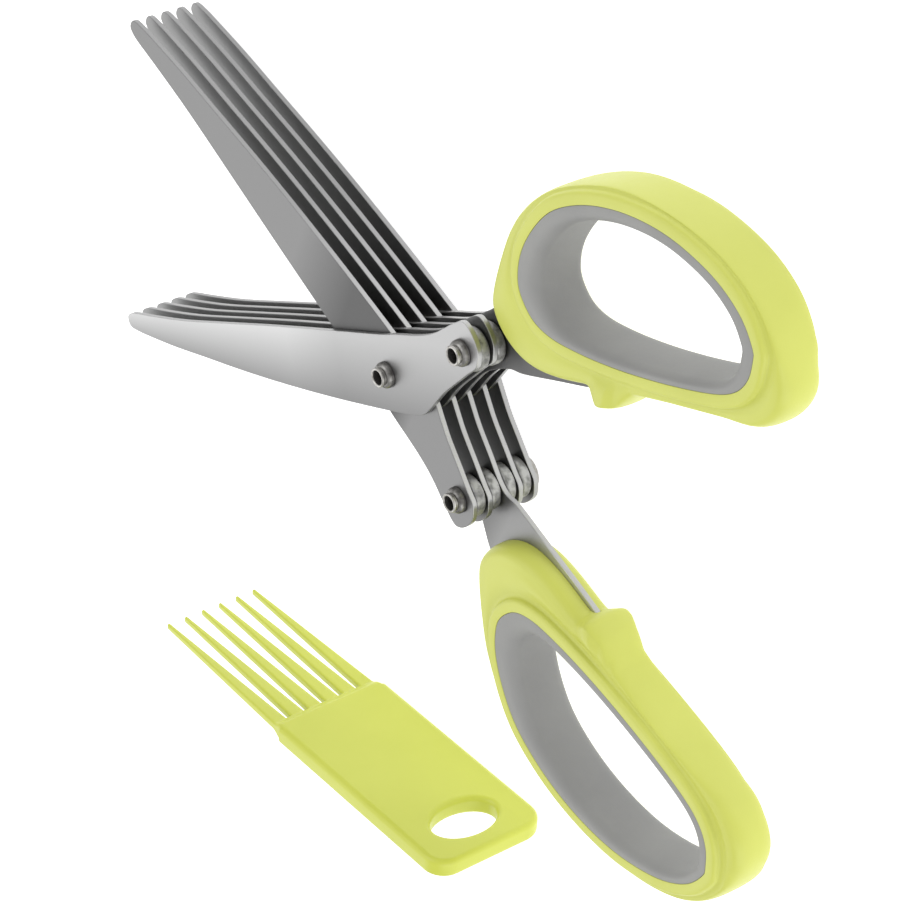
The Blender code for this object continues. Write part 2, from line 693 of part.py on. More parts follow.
def main():
    clear_scene()
    steel = make_material("brushed_blade_steel", (0.62, 0.62, 0.63), 0.32, 1.0)
    rivet_steel = make_material("rivet_steel", (0.70, 0.69, 0.67), 0.22, 1.0)
    plastic = make_material("lime_plastic", (0.70, 0.74, 0.20), 0.42, 0.0)
    grip = make_material("grey_soft_grip", (0.28, 0.28, 0.27), 0.65, 0.0)
    comb_plastic = make_material("comb_plastic", (0.74, 0.80, 0.15), 0.38, 0.0)
    frame_a = add_frame("half_a_frame", turn=HALF_A.turn)
    frame_b = add_frame("half_b_frame", turn=HALF_B.turn)
    make_half(HALF_A, frame_a, steel, rivet_steel, plastic, grip)
    make_half(HALF_B, frame_b, steel, rivet_steel, plastic, grip)
    make_pivot(frame_a, rivet_steel)
    make_comb(comb_plastic)


main()
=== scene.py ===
"""Herb scissors with their cleaning comb: detailed pieces over the fixed frame, with
materials, a pale floor, soft light and a camera.

Units are metres and the frame is the CAD model's. Each half is drawn in its own frame,
x towards its cutting edges and y towards its tips, and is turned into place at the end.
"""

from math import cos, hypot, pi, radians, sin

import bmesh
import bpy
from mathutils import Matrix, Vector
from mathutils.geometry import tessellate_polygon


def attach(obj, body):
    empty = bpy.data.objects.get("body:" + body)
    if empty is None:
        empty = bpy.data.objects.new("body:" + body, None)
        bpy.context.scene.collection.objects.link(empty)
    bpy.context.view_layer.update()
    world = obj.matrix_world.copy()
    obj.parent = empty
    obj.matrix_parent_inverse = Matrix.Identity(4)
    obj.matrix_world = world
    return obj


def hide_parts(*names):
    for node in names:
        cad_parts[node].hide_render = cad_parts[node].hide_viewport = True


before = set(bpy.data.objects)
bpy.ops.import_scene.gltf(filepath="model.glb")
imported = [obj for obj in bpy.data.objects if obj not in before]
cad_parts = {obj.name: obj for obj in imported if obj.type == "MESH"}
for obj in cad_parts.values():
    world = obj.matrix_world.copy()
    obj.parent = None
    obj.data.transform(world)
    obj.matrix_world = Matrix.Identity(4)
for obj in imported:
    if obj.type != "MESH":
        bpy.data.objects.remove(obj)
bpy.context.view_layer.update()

MM = 0.001

# Jaws
JAW_HALF_ANGLE = radians(21.13)
BLADES_PER_HALF = 5

# Blades
BLADE_THICKNESS = 1.0 * MM
BLADE_REACH = 88.5 * MM
BLADE_EDGE_SIDE = 7.3 * MM
BLADE_SPINE_SIDE = 6.9 * MM
BLADE_EDGE_ROUND = 0.12 * MM
RUNNING_GAP = 0.1 * MM
REAR_RIVET_ASIDE = 6.95 * MM
REAR_RIVET_BACK = 24.25 * MM
# Across as shares of the edge side, along as shares of the reach, pivot to tip
EDGE_SIDE_SHARES = [
    (1.0, 0.0), (0.91, 0.11), (0.81, 0.23), (0.66, 0.40), (0.49, 0.57), (0.31, 0.755),
    (0.25, 0.88), (0.235, 0.96), (0.20, 0.985), (0.10, 1.0),
]
# Across as shares of the spine side, along as shares of the reach, tip to pivot
SPINE_SIDE_SHARES = [
    (0.11, 1.0), (0.22, 0.99), (0.29, 0.965), (0.35, 0.935), (0.52, 0.82), (0.65, 0.69),
    (0.78, 0.565), (0.88, 0.44), (0.95, 0.31), (0.99, 0.18), (1.0, 0.04), (0.985, -0.05),
]
# Shares of the rear rivet's place, down the spine side of the tail
TAIL_SPINE_SHARES = [(-0.91, 0.36), (-0.73, 0.46), (-0.42, 0.585), (-0.17, 0.69), (0.15, 0.86)]
# Shares of the rear rivet's place, round the end of a plain tail
TAIL_END_SHARES = [
    (0.46, 1.027), (0.63, 1.126), (0.81, 1.163), (1.10, 1.188), (1.44, 1.163), (1.70, 1.113),
    (1.80, 1.047),
]
# Shares of the rear rivet's place, up the edge side of the tail
TAIL_EDGE_SHARES = [(1.67, 0.92), (1.37, 0.70), (1.22, 0.49), (1.13, 0.20)]

# Tangs that carry the handles, one on the middle blade of each half
TANG_WIDTH = 14.6 * MM
TANG_REACH = 61.5 * MM
TANG_PROUD = 1.0 * MM
TANG_BLADE = 3
# Across as shares of the width, along as shares of the reach, down the inner side and back
TANG_SHARES = [
    (0.03, 0.44), (0.0, 0.51), (0.0, 0.66), (0.0, 0.82), (0.03, 0.96), (0.11, 1.0), (0.22, 1.0),
    (0.29, 0.975), (0.32, 0.89), (0.39, 0.80), (0.52, 0.71), (0.77, 0.62), (1.0, 0.54),
    (0.98, 0.49), (0.78, 0.43),
]
# The slot in the shell: it stops at a share of the shell's length
SLOT_CLEARANCE = 0.05 * MM
SLOT_STOP_SHARE = 0.33
CUT_OVERRUN = 6.0 * MM

# Rivets: a flat head below, a hollow flared end above
RIVET_RADIUS = 1.75 * MM
RIVET_CLEARANCE = 0.08 * MM
RIVET_BORE = 1.3 * MM
RIVET_BORE_DEPTH = 6.0 * MM
RIVET_HEAD_THICKNESS = 0.8 * MM
RIVET_HEAD_ROUND = 0.25 * MM
PIVOT_HEAD_RADIUS = 5.0 * MM
REAR_HEAD_RADIUS = 3.3 * MM
RIVET_STAND = 2.2 * MM
RIVET_COLLAR_RADIUS = 2.4 * MM
RIVET_COLLAR_HEIGHT = 1.2 * MM
RIVET_COLLAR_EDGE = 0.3 * MM
RIVET_FLARE_RADIUS = 1.8 * MM
RIVET_FLARE_HEIGHT = 0.6 * MM
RIVET_FLARE_ROUND = 0.22 * MM
RIVET_NECK_RADIUS = 1.6 * MM
# How much of the flared lip's width is painted as dark as the bore, as painted shade in the hole
RIVET_DARK_LIP_SHARE = 0.125

# Spacers
PIVOT_SPACER_THICKNESS = 1.06 * MM
PIVOT_SPACER_RADIUS = 4.2 * MM
REAR_SPACER_RADIUS = 3.9 * MM
PIVOT_SPACER_ROUND = 0.3 * MM
REAR_SPACER_ROUND = 0.6 * MM

# Handles
SHELL_THICKNESS = 8.4 * MM
SHELL_SIDE_POWER = 0.86
CROWN_HEIGHT = 0.3 * MM
CROWN_RUN = 5.0 * MM
RIM_HEIGHT = 1.3 * MM
RIM_WIDTH = 2.3 * MM
RIM_ROUND = 0.8 * MM
RIM_FOOT = 0.12 * MM
RIM_FILLET = 0.5 * MM
RIM_FILLET_RUN = 1.1 * MM
SEAT_ROUND = 0.12 * MM
SIDE_DEPTH = 2.3 * MM
BUMP_ROUND = 0.8 * MM
# The ridge on the front of the bump, along as shares of the shell's length
BUMP_RIDGE = 0.7 * MM
RIDGE_END_SHARE = 0.40
RIDGE_RUN_SHARE = 0.03
RIDGE_FALL_POWER = 3
# The liner's lip is rounded over a share of the liner's wall
LINER_ROUND_DEPTH = 2.2 * MM
LINER_ROUND_SHARE = 0.6
LINER_EDGE = 0.2 * MM
LINER_GAP = 0.25 * MM
LINER_SEAM = 0.02 * MM
# Unit outline of a finger loop and of its liner's hole, across from the inner side and along
# from the front
LOOP_SHARES = [
    (0.41, 0.0), (0.255, 0.037), (0.16, 0.11), (0.10, 0.22), (0.058, 0.34), (0.026, 0.48),
    (0.004, 0.65), (0.003, 0.81), (0.037, 0.90), (0.12, 0.96), (0.24, 0.994), (0.31, 1.0),
    (0.48, 0.973), (0.655, 0.902), (0.80, 0.80), (0.905, 0.69), (0.974, 0.56), (1.0, 0.43),
    (0.984, 0.313), (0.93, 0.21), (0.82, 0.12), (0.68, 0.047), (0.54, 0.008),
]
# Unit outline of a shell at its widest: the front, the outer side, the back and the inner side
SHELL_SHARES = [
    (0.33, 0.0), (0.44, 0.018), (0.618, 0.075), (0.772, 0.14), (0.888, 0.235), (0.965, 0.345),
    (1.0, 0.49), (0.98, 0.60), (0.91, 0.71), (0.80, 0.823), (0.665, 0.908), (0.517, 0.962),
    (0.363, 0.991), (0.232, 1.0), (0.13, 0.993), (0.05, 0.968), (-0.012, 0.925), (-0.040, 0.865),
    (-0.022, 0.75), (0.0, 0.61),
]
# The bump stop, across as shares of its height, along as shares of the shell's length
BUMP_SHARES = [
    (0.05, 0.492), (0.30, 0.459), (0.68, 0.431), (0.97, 0.404), (1.0, 0.375), (0.95, 0.350),
    (0.55, 0.333), (0.12, 0.318),
]
# The straight inner side in front of the bump and the turn into the front
NOSE_SHARES = [(0.0, 0.30), (0.0, 0.25), (0.008, 0.18), (0.04, 0.11), (0.11, 0.055), (0.215, 0.015)]

# Finger loop of half a: its inner side from the jaw's middle line, and its front behind the pivot
LOOP_INNER_A = 7.1 * MM
LOOP_FRONT_A = 40.8 * MM
LOOP_WIDTH_A = 27.7 * MM
LOOP_LENGTH_A = 56.4 * MM
SHELL_INNER_WALL_A = 4.3 * MM
SHELL_OUTER_WALL_A = 3.4 * MM
SHELL_FRONT_WALL_A = 11.9 * MM
SHELL_BACK_WALL_A = 4.8 * MM
LINER_INNER_WALL_A = 1.3 * MM
LINER_OUTER_WALL_A = 2.65 * MM
LINER_FRONT_WALL_A = 4.2 * MM
LINER_BACK_WALL_A = 3.6 * MM
BUMP_HEIGHT_A = 2.9 * MM

# Finger loop of half b, in the same way
LOOP_INNER_B = 8.0 * MM
LOOP_FRONT_B = 42.2 * MM
LOOP_WIDTH_B = 30.1 * MM
LOOP_LENGTH_B = 58.4 * MM
SHELL_INNER_WALL_B = 3.2 * MM
SHELL_OUTER_WALL_B = 4.2 * MM
SHELL_FRONT_WALL_B = 11.2 * MM
SHELL_BACK_WALL_B = 5.2 * MM
LINER_INNER_WALL_B = 2.25 * MM
LINER_OUTER_WALL_B = 2.35 * MM
LINER_FRONT_WALL_B = 5.15 * MM
LINER_BACK_WALL_B = 2.1 * MM
BUMP_HEIGHT_B = 2.7 * MM

# Cleaning comb, standing on its long edge
COMB_LENGTH = 91.8 * MM
COMB_WIDTH = 25.3 * MM
COMB_THICKNESS = 4.0 * MM
COMB_TINES = 6
COMB_TINE_LENGTH = 38.5 * MM
COMB_TINE_PITCH = 4.1 * MM
COMB_TINE_ROOT = 3.1 * MM
COMB_TINE_TIP = 0.7 * MM
COMB_ROOT_THICKNESS = 1.7 * MM
COMB_TIP_THICKNESS = 1.3 * MM
COMB_SHOULDER = 2.7 * MM
COMB_CORNER = 4.5 * MM
COMB_EDGE_ROUND = 1.1 * MM
COMB_HOLE_LENGTH = 13.8 * MM
COMB_HOLE_WIDTH = 9.4 * MM
COMB_HOLE_BACK = 8.9 * MM
COMB_TIPS_X = -87.1 * MM
COMB_TIPS_Y = 59.0 * MM
COMB_YAW = radians(1.2)

# Painted light and shade on the blades, on their plan in millimetres: the painted highlight runs
# across the blade's width, which narrows towards the tip, and each change of tone runs between two
# places along the blade
BLADE_HALF_WIDTH = 7.1
BLADE_TAPER = 0.0525
BLADE_MIDDLE_ASIDE = 0.7
# Painted shade towards the root of a top blade, and where it ends behind the pivot
ROOT_SHADE_FROM = 15.0
ROOT_SHADE_TO = 31.0
REAR_SHADE_FROM = -8.0
REAR_SHADE_TO = -3.0
# Painted tone along the inner blades and the blades' side faces, from root to tip
INNER_TONE_FROM = 5.0
INNER_TONE_TO = 35.0
# Painted tone of the tang, where it leaves the stack of blades
TANG_TONE_FROM = -31.0
TANG_TONE_TO = -27.0
# Painted tone of the strip of the tang that shows in the handle's slot, a painted highlight on half
# b
STRIP_TONE_FROM = -46.0
STRIP_TONE_TO = -37.0

# Roughness of the blades, and the fine lines ground across them
BLADE_ROUGHNESS = 0.40
LINE_SCALE = 2.2
LINE_STRETCH = (0.12, 6.0, 1.0)
LINE_DETAIL = 6.0
LINE_DEPTH = 0.01 * MM
LINE_STRENGTH = 0.15
LINE_SMOOTHER = 0.04
TOP_LINE_TONE = 0.05
TOP_LINE_ROUGHER = 0.06
INNER_LINE_TONE = 0.08
INNER_LINE_ROUGHER = 0.08

# Soft blotches on the rivets and spacers: where the colours stand and where the roughness runs,
# as shares of the noise
PATCH_SCALE = 800.0
PATCH_DARK_AT = 0.35
PATCH_BRIGHT_AT = 0.60
PATCH_ROUGH_FROM = 0.3
PATCH_ROUGH_TO = 0.7
PATCH_DEPTH = 0.04 * MM
PATCH_STRENGTH = 0.3

# Clouds, gloss and spark grain of the plastics
CLOUD_SCALE = 60.0
CLOUD_LOW_AT = 0.3
CLOUD_HIGH_AT = 0.7
GLOSS_SCALE = 1400.0
GLOSS_SMOOTHER = 0.06
GLOSS_ROUGHER = 0.08
GRAIN_SCALE = 4200.0
GRAIN_STRENGTH = 0.5

# Detail of the noises
NOISE_DETAIL = 4.0
PLAIN_NOISE_DETAIL = 3.0

# Angles between faces that shade sharp, in degrees
PIECE_SHARP_ANGLE = 35
BLADE_SHARP_ANGLE = 15
COMB_SHARP_ANGLE = 60

# Keeps a sharp corner from running far ahead when its outline moves
CORNER_LIMIT = 0.5

# Steps of the curves and rounds
OUTLINE_STEPS = 6
HANDLE_STEPS = 5
ROUND_SEGMENTS = 64
SIDE_STEPS = 10
CROWN_STEPS = 6
ROUND_STEPS = 4
FINE_STEPS = 2
LINER_STEPS = 9
CORNER_STEPS = 8
SLOPE_STEPS = 6

# Sizes that follow
BLADE_PITCH = 2 * BLADE_THICKNESS + PIVOT_SPACER_THICKNESS + 3 * RUNNING_GAP
REAR_SPACER_THICKNESS = BLADE_PITCH - BLADE_THICKNESS - 2 * RUNNING_GAP
HOLE_RADIUS = RIVET_RADIUS + RIVET_CLEARANCE
STACK_FLOOR = RIVET_HEAD_THICKNESS + RUNNING_GAP
SCISSOR_STEP = BLADE_THICKNESS + RUNNING_GAP
STACK_TOP = STACK_FLOOR + (BLADES_PER_HALF - 1) * BLADE_PITCH + SCISSOR_STEP + BLADE_THICKNESS
HANDLE_MIDDLE = (STACK_FLOOR + STACK_TOP) / 2
REAR_RIVET = (REAR_RIVET_ASIDE, -REAR_RIVET_BACK)
PIVOT = (0.0, 0.0)

# Camera, at the photograph's viewing angle
CAMERA_PLACE = (310.4 * MM, -380.0 * MM, 312.6 * MM)
CAMERA_RIGHT = (0.048, -0.610, -0.791)
CAMERA_UP = (0.826, 0.470, -0.312)
CAMERA_LENS = 129.55
CAMERA_SENSOR = 36.0
CAMERA_CLIP = 0.01

# Floor and soft room
WHITE = (1.0, 1.0, 1.0, 1.0)
FLOOR_HALF = 3.0
FLOOR_DROP = 0.02 * MM
FLOOR_ROUGHNESS = 0.9
FLOOR_COLOUR = (0.6, 0.6, 0.6, 1.0)
FLOOR_GLOW = 0.9
ROOM_LIGHT = 0.70

# Each light's name, place, target, size and power
LIGHTS = [
    ("key_light", (0.35, 0.25, 0.75), (0.0, 0.0, 0.0), 0.7, 2.7),
    ("far_softbox", (-0.45, 0.55, 0.5), (0.0, 0.0, 0.0), 0.8, 2.0),
    ("side_softbox", (-0.30, -0.75, 0.30), (0.0, -0.03, 0.0), 0.7, 2.6),
]


class Box:
    """A rectangle in a half's frame: its inner side, front, width and length."""

    def __init__(self, inner, front, width, length):
        self.inner = inner
        self.front = front
        self.width = width
        self.length = length

    def grown(self, inner, outer, front, back):
        """The rectangle with each side moved out by its own wall."""
        return Box(self.inner - inner, self.front - front, self.width + inner + outer,
                   self.length + front + back)

    def spread(self, shares):
        """Points given as shares, across from the inner side and back from the front."""
        return [(self.inner + u * self.width, -self.front - v * self.length) for u, v in shares]


class Half:
    """One half of the scissors: its side, its angle at rest and the sizes of its handle."""

    def __init__(self, letter, side, turn, loop, shell_walls, liner_walls, bump_height):
        self.letter = letter
        self.side = side
        self.turn = turn
        self.loop = loop
        self.shell = loop.grown(*shell_walls)
        self.hole = loop.grown(*(-wall for wall in liner_walls))
        self.bump_height = bump_height

    def place(self, points):
        """Points of this half's frame in the shared frame."""
        c, s = cos(self.turn), sin(self.turn)
        placed = []
        for x, y, z in points:
            x *= self.side
            placed.append((c * x - s * y, s * x + c * y, z))
        return placed

    def place_solid(self, verts, faces):
        """A solid of this half's frame in the shared frame, its faces still facing outwards."""
        if self.side < 0:
            faces = [tuple(reversed(face)) for face in faces]
        return self.place(verts), faces


HALF_A = Half(
    "a", 1, JAW_HALF_ANGLE,
    Box(LOOP_INNER_A, LOOP_FRONT_A, LOOP_WIDTH_A, LOOP_LENGTH_A),
    (SHELL_INNER_WALL_A, SHELL_OUTER_WALL_A, SHELL_FRONT_WALL_A, SHELL_BACK_WALL_A),
    (LINER_INNER_WALL_A, LINER_OUTER_WALL_A, LINER_FRONT_WALL_A, LINER_BACK_WALL_A),
    BUMP_HEIGHT_A,
)
HALF_B = Half(
    "b", -1, -JAW_HALF_ANGLE,
    Box(LOOP_INNER_B, LOOP_FRONT_B, LOOP_WIDTH_B, LOOP_LENGTH_B),
    (SHELL_INNER_WALL_B, SHELL_OUTER_WALL_B, SHELL_FRONT_WALL_B, SHELL_BACK_WALL_B),
    (LINER_INNER_WALL_B, LINER_OUTER_WALL_B, LINER_FRONT_WALL_B, LINER_BACK_WALL_B),
    BUMP_HEIGHT_B,
)


def add_object(name, data):
    """A new object in the scene."""
    thing = bpy.data.objects.new(name, data)
    bpy.context.scene.collection.objects.link(thing)
    return thing


def add_piece(name, verts, faces, body, node, material, half=None, angle=PIECE_SHARP_ANGLE):
    """A detailed piece that stands for a CAD node and rides on its body. Its UV map is its plan in
    its own frame, in millimetres."""
    plan = verts
    if half:
        verts, faces = half.place_solid(verts, faces)
    mesh = bpy.data.meshes.new(name)
    mesh.from_pydata(verts, [], faces)
    layer = mesh.uv_layers.new(name="plan")
    for corner in mesh.loops:
        x, y = plan[corner.vertex_index][:2]
        layer.data[corner.index].uv = (x / MM, y / MM)
    mesh.update()
    mesh.shade_smooth()
    mesh.set_sharp_from_angle(angle=radians(angle))
    mesh.materials.append(material)
    piece = add_object(name, mesh)
    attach(piece, body)
    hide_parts(node)
    return piece


def keep_flats_flat(piece):
    """Takes the normals from the large faces, so flat sides shade flat up to their edges."""
    weighted = piece.modifiers.new("flat_sides", "WEIGHTED_NORMAL")
    weighted.keep_sharp = True


def smooth_loop(points, steps=OUTLINE_STEPS):
    """A closed curve through the points, with a few points to each stretch."""
    count = len(points)
    curve = []
    for index in range(count):
        before, start, end, after = (Vector(points[(index + k) % count]) for k in (-1, 0, 1, 2))
        for step in range(steps):
            t = step / steps
            curve.append(tuple(
                start
                + (end - before) * (t / 2)
                + (before * 2 - start * 5 + end * 4 - after) * (t * t / 2)
                + (start * 3 - before - end * 3 + after) * (t ** 3 / 2)
            ))
    return curve


def arc(centre, radius, start, end, steps=CORNER_STEPS):
    """Points along an arc, with both its ends."""
    turns = [start + (end - start) * k / steps for k in range(steps + 1)]
    return [(centre[0] + radius * cos(turn), centre[1] + radius * sin(turn)) for turn in turns]


def circle(centre, radius):
    """Points round a circle, anticlockwise."""
    return arc(centre, radius, 0, 2 * pi, ROUND_SEGMENTS)[:-1]


def turned_left(outline):
    """The outline with its points running anticlockwise."""
    area = sum(a[0] * b[1] - b[0] * a[1] for a, b in zip(outline, outline[1:] + outline[:1]))
    return outline if area > 0 else outline[::-1]


def moved_left(outline, distances):
    """The outline with each point moved to its left, square to it, by a distance of its own."""
    moved = []
    before = outline[-1:] + outline[:-1]
    after = outline[1:] + outline[:1]
    for last, point, following, distance in zip(before, outline, after, distances):
        first = (Vector(point) - Vector(last)).normalized()
        second = (Vector(following) - Vector(point)).normalized()
        normal = Vector((-first.y - second.y, first.x + second.x)).normalized()
        spread = max(CORNER_LIMIT, normal.dot(Vector((-first.y, first.x))))
        moved.append((point[0] + normal.x * distance / spread,
                      point[1] + normal.y * distance / spread))
    return moved


def grown(outline, distance):
    """The outline moved outwards by a distance."""
    outline = turned_left(outline)
    return moved_left(outline, [-distance] * len(outline))


def rounded_plate(loops, low, high, rounds, height, steps=ROUND_STEPS):
    """A plate with rounded edges. Its loops run with the material on their left, rounds holds
    each loop's insets and height is how far down the side the round runs."""
    levels = []
    for k in range(steps + 1):
        turn = pi / 2 * k / steps
        levels.append((1 - cos(turn), height * (1 - sin(turn))))
    rings = [(share, low + drop) for share, drop in reversed(levels)]
    rings += [(share, high - drop) for share, drop in levels]
    verts = []
    for share, z in rings:
        for loop, insets in zip(loops, rounds):
            verts += [(x, y, z) for x, y in moved_left(loop, [share * inset for inset in insets])]
    count = sum(len(loop) for loop in loops)
    faces = []
    for ring in range(len(rings) - 1):
        start = ring * count
        for loop in loops:
            size = len(loop)
            for k in range(size):
                a = start + k
                b = start + (k + 1) % size
                faces.append((a, b, b + count, a + count))
            start += size
    last = (len(rings) - 1) * count
    face_loops = []
    start = last
    for loop in loops:
        face_loops.append([Vector((x, y, 0.0)) for x, y, z in verts[start:start + len(loop)]])
        start += len(loop)
    flat = [point for loop in face_loops for point in loop]
    for triangle in tessellate_polygon(face_loops):
        a, b, c = (flat[index].to_2d() for index in triangle)
        left = (b - a).cross(c - a) > 0
        up = tuple(triangle) if left else tuple(reversed(triangle))
        faces.append(tuple(index + last for index in up))
        faces.append(tuple(reversed(up)))
    return verts, faces


def turned(profile, centre):
    """A round solid from (radius, height) points that run up from the axis and back to it."""
    verts = []
    rings = []
    for radius, height in profile:
        points = circle(centre, radius) if radius else [centre]
        rings.append(list(range(len(verts), len(verts) + len(points))))
        verts += [(x, y, height) for x, y in points]
    faces = []
    for low, high in zip(rings, rings[1:]):
        for k in range(ROUND_SEGMENTS):
            n = (k + 1) % ROUND_SEGMENTS
            if len(low) == 1:
                faces.append((low[0], high[n], high[k]))
            elif len(high) == 1:
                faces.append((low[k], low[n], high[0]))
            else:
                faces.append((low[k], low[n], high[n], high[k]))
    return verts, faces


def ring_solid(rings):
    """A closed ring from cross-sections that run round it, each a list of points."""
    count = len(rings)
    size = len(rings[0])
    verts = [point for ring in rings for point in ring]
    faces = []
    for k in range(count):
        n = (k + 1) % count
        for index in range(size):
            m = (index + 1) % size
            faces.append((k * size + index, n * size + index, n * size + m, k * size + m))
    return verts, faces


def reach(outline, centre, direction):
    """How far the outline lies from the centre in a direction."""
    distances = []
    for start, end in zip(outline, outline[1:] + outline[:1]):
        sx, sy = start[0] - centre[0], start[1] - centre[1]
        ex, ey = end[0] - start[0], end[1] - start[1]
        cross = direction[0] * ey - direction[1] * ex
        if cross == 0:
            continue
        share = (sx * direction[1] - sy * direction[0]) / cross
        distance = (sx * ey - sy * ex) / cross
        if 0 <= share <= 1 and distance > 0:
            distances.append(distance)
    return min(distances)


def section_ring(centre, ray, section, height=0.0):
    """A cross-section of (radius, height) points, stood along a ray from a centre."""
    return [(centre[0] + r * ray[0], centre[1] + r * ray[1], height + z) for r, z in section]


def blade_floor(half, number):
    """The height of a blade's lower face. Blade 1 is the top one."""
    step = SCISSOR_STEP if half is HALF_A else 0
    return STACK_FLOOR + (BLADES_PER_HALF - number) * BLADE_PITCH + step


def spacer_floor(half, number):
    """The height of the lower face of the spacer below a blade."""
    return blade_floor(half, number + 1) + BLADE_THICKNESS + RUNNING_GAP


def rear_places(shares):
    """Places given as shares of the rear rivet's own."""
    return [(x * REAR_RIVET_ASIDE, -y * REAR_RIVET_BACK) for x, y in shares]


def tang_points(half):
    """The outline of the tang, down its inner side and back."""
    inner = half.shell.inner - TANG_PROUD
    return [(inner + x * TANG_WIDTH, -y * TANG_REACH) for x, y in TANG_SHARES]


def blade_tail(half, with_tang):
    """The outline behind the pivot, from the spine round the end to the edge side."""
    end = tang_points(half) if with_tang else rear_places(TAIL_END_SHARES)
    return rear_places(TAIL_SPINE_SHARES) + end + rear_places(TAIL_EDGE_SHARES)


def blade_outline(half, with_tang):
    """A blade's whole outline: the edge side to the tip, the spine side back and the tail."""
    points = [(x * BLADE_EDGE_SIDE, y * BLADE_REACH) for x, y in EDGE_SIDE_SHARES]
    points += [(-x * BLADE_SPINE_SIDE, y * BLADE_REACH) for x, y in SPINE_SIDE_SHARES]
    return turned_left(smooth_loop(points + blade_tail(half, with_tang)))


def make_blade(half, number, steel, edge_steel):
    """A flat blade with two holes, its side faces in a steel of their own with painted light."""
    outline = blade_outline(half, number == TANG_BLADE)
    loops = [outline, circle(PIVOT, HOLE_RADIUS)[::-1], circle(REAR_RIVET, HOLE_RADIUS)[::-1]]
    rounds = [[BLADE_EDGE_ROUND] * len(loop) for loop in loops]
    low = blade_floor(half, number)
    verts, faces = rounded_plate(loops, low, low + BLADE_THICKNESS, rounds, BLADE_EDGE_ROUND,
                                 FINE_STEPS)
    piece = add_piece(f"ground_blade_{half.letter}{number}", verts, faces, f"half_{half.letter}",
                      f"blade_{half.letter}{number}", steel, half,
                      BLADE_SHARP_ANGLE)
    piece.data.materials.append(edge_steel)
    for face in piece.data.polygons:
        if abs(face.normal.z) < cos(pi / 4):
            face.material_index = 1


def make_rivet(name, centre, head_top, head_radius, blade_top, body, finishes, half):
    """A rivet with a flat head on the table and a hollow flared end above the top blade. Its
    collar is dark, and painted shade darkens its bore and the inner edge of its lip."""
    collar_low = blade_top + RUNNING_GAP
    collar_high = collar_low + RIVET_COLLAR_HEIGHT
    top = blade_top + RIVET_STAND
    flare_low = top - RIVET_FLARE_HEIGHT
    bore_floor = top - RIVET_BORE_DEPTH
    head_corner = head_radius - RIVET_HEAD_ROUND
    flare_middle = (RIVET_FLARE_RADIUS + RIVET_BORE) / 2
    lip = (RIVET_FLARE_RADIUS - RIVET_BORE) / 2
    dome_run = RIVET_COLLAR_RADIUS - RIVET_NECK_RADIUS
    dome_rise = RIVET_COLLAR_HEIGHT - RIVET_COLLAR_EDGE
    dome_turns = [pi / 2 * k / CORNER_STEPS for k in range(CORNER_STEPS + 1)]
    profile = [(0, 0)]
    profile += arc((head_corner, RIVET_HEAD_ROUND), RIVET_HEAD_ROUND, -pi / 2, 0)
    profile += arc((head_corner, head_top - RIVET_HEAD_ROUND), RIVET_HEAD_ROUND, 0, pi / 2)
    profile += [(RIVET_RADIUS, head_top), (RIVET_RADIUS, collar_low)]
    profile.append((RIVET_COLLAR_RADIUS, collar_low))
    profile += [
        (RIVET_NECK_RADIUS + dome_run * cos(turn), collar_high - dome_rise * (1 - sin(turn)))
        for turn in dome_turns
    ]
    profile.append((RIVET_NECK_RADIUS, flare_low))
    profile += arc((RIVET_FLARE_RADIUS - RIVET_FLARE_ROUND, flare_low + RIVET_FLARE_ROUND),
                   RIVET_FLARE_ROUND, -pi / 2, 0)
    profile += arc((flare_middle, top - lip), lip, 0, pi)
    profile += [(RIVET_BORE, bore_floor), (0, bore_floor)]
    verts, faces = turned(profile, centre)
    rivet = add_piece(f"flared_{name}", verts, faces, body, name,
                      finishes["bright"], half)
    rivet.data.materials.append(finishes["dark"])
    axis = Vector(half.place([(*centre, 0)])[0]).xy
    # The bore and the inner edge of the lip take the dark steel: painted shade in the hole
    dark_radius = RIVET_BORE + RIVET_DARK_LIP_SHARE * (RIVET_FLARE_RADIUS - RIVET_BORE)
    for face in rivet.data.polygons:
        radius = max((rivet.data.vertices[k].co.xy - axis).length for k in face.vertices)
        in_bore = face.center.z > bore_floor - lip and radius < dark_radius
        if blade_top < face.center.z < collar_high or in_bore:
            face.material_index = 1


def make_spacer(name, centre, radius, low, thickness, rounding, body, material, half):
    """A washer with a barrelled rim."""
    high = low + thickness
    section = [(HOLE_RADIUS, low)]
    section += arc((radius - rounding, low + rounding), rounding, -pi / 2, 0)
    section += arc((radius - rounding, high - rounding), rounding, 0, pi / 2)
    section.append((HOLE_RADIUS, high))
    verts, faces = ring_solid([section_ring(centre, ray, section) for ray in circle((0, 0), 1)])
    add_piece(f"barrelled_{name}", verts, faces, body, name, material, half)


def loop_outline(box):
    """The outline of a finger loop, or of the hole in its liner."""
    return turned_left(smooth_loop(box.spread(LOOP_SHARES), HANDLE_STEPS))


def shell_outline(half):
    """The outline of a shell at its widest, with its bump stop."""
    bump = [(-u * half.bump_height / half.shell.width, v) for u, v in BUMP_SHARES]
    points = half.shell.spread(SHELL_SHARES + bump + NOSE_SHARES)
    return turned_left(smooth_loop(points, HANDLE_STEPS))


def loop_centre(half):
    """The middle of a finger loop."""
    return (half.loop.inner + half.loop.width / 2, -half.loop.front - half.loop.length / 2)


def directions(half):
    """Unit directions from the finger loop's centre to the points of the shell's outline."""
    centre = loop_centre(half)
    rays = []
    for x, y in shell_outline(half):
        dx, dy = x - centre[0], y - centre[1]
        length = hypot(dx, dy)
        rays.append((dx / length, dy / length))
    return rays


def there_and_back(half_section):
    """A section that is alike above and below its middle plane, from its upper points."""
    lower = [(r, -z) for r, z in reversed(half_section) if z > 0]
    return lower + half_section


def bump_lift(half, y):
    """How far the bump's front ridge stands above the shell at a place along it, as a share."""
    along = (-half.shell.front - y) / half.shell.length
    return min(1.0, max(0.0, (RIDGE_END_SHARE - along) / RIDGE_RUN_SHARE))


